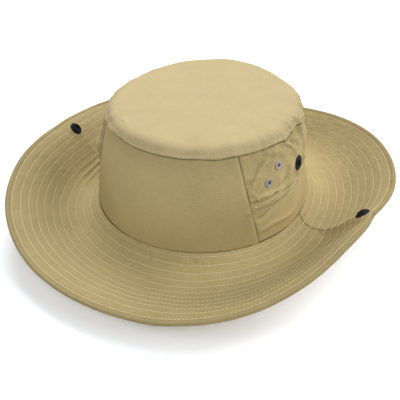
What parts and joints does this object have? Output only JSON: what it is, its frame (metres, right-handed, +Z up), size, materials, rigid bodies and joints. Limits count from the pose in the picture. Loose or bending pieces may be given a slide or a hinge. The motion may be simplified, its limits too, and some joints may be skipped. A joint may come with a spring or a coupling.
{
  "type": "boonie hat",
  "caption": "Soft sun hat with an oval crown, a wide quilted brim and side flaps that snap up to the crown.",
  "frame": {"origin": "on the surface that the hat stands on, below the centre of its box", "axes": "+Z up through the crown, -Y out of the front of the hat, +X towards the wearer's left"},
  "size_m": [0.3182, 0.3429, 0.1031],
  "materials": {
    "crown_cloth": "khaki cotton ripstop, matt",
    "tip_cloth": "khaki cotton ripstop, matt",
    "brim_cloth": "khaki cotton ripstop quilted with rows of stitching",
    "stiffener": "off-white non-woven interlining",
    "lining": "khaki cotton tape",
    "elastic": "off-white knitted elastic",
    "label": "blank white satin label",
    "snap_black": "black lacquered brass, satin",
    "eyelet_metal": "plain rolled metal"
  },
  "bodies": {
    "root": {"brim_core_front": "stiffener", "brim_core_rear": "stiffener", "brim_lower_front": "brim_cloth", "brim_lower_rear": "brim_cloth", "brim_upper_front": "brim_cloth", "brim_upper_rear": "brim_cloth", "care_label": "label", "crown_front_panel": "crown_cloth", "crown_rear_panel": "crown_cloth", "crown_stud_left": "snap_black", "crown_stud_right": "snap_black", "crown_tip": "tip_cloth", "elastic_casing": "lining", "eyelet_washer_left_lower": "eyelet_metal", "eyelet_washer_left_upper": "eyelet_metal", "eyelet_washer_right_lower": "eyelet_metal", "eyelet_washer_right_upper": "eyelet_metal", "front_interlining": "stiffener", "rear_elastic": "elastic", "seam_tape_left": "lining", "seam_tape_right": "lining", "stud_cap_left": "snap_black", "stud_cap_right": "snap_black", "sweatband": "lining", "tip_seam_tape": "lining", "vent_eyelet_left_lower": "eyelet_metal", "vent_eyelet_left_upper": "eyelet_metal", "vent_eyelet_right_lower": "eyelet_metal", "vent_eyelet_right_upper": "eyelet_metal"},
    "flap_left": {"brim_core_front_left_flap": "stiffener", "brim_core_rear_left_flap": "stiffener", "brim_lower_front_left_flap": "brim_cloth", "brim_lower_rear_left_flap": "brim_cloth", "brim_socket_left": "snap_black", "brim_upper_front_left_flap": "brim_cloth", "brim_upper_rear_left_flap": "brim_cloth", "socket_cap_left": "snap_black"},
    "flap_right": {"brim_core_front_right_flap": "stiffener", "brim_core_rear_right_flap": "stiffener", "brim_lower_front_right_flap": "brim_cloth", "brim_lower_rear_right_flap": "brim_cloth", "brim_socket_right": "snap_black", "brim_upper_front_right_flap": "brim_cloth", "brim_upper_rear_right_flap": "brim_cloth", "socket_cap_right": "snap_black"}
  },
  "joints": [
    {"name": "brim_flap_left_fold", "type": "hinge", "parent": "root", "child": "flap_left", "pos_m": [0.08979, 0, 0.00323], "axis": [0, -1, 0], "range_deg": [0, 60.5]},
    {"name": "brim_flap_right_fold", "type": "hinge", "parent": "root", "child": "flap_right", "pos_m": [-0.08979, 0, 0.00323], "axis": [0, 1, 0], "range_deg": [0, 60.5]}
  ]
}
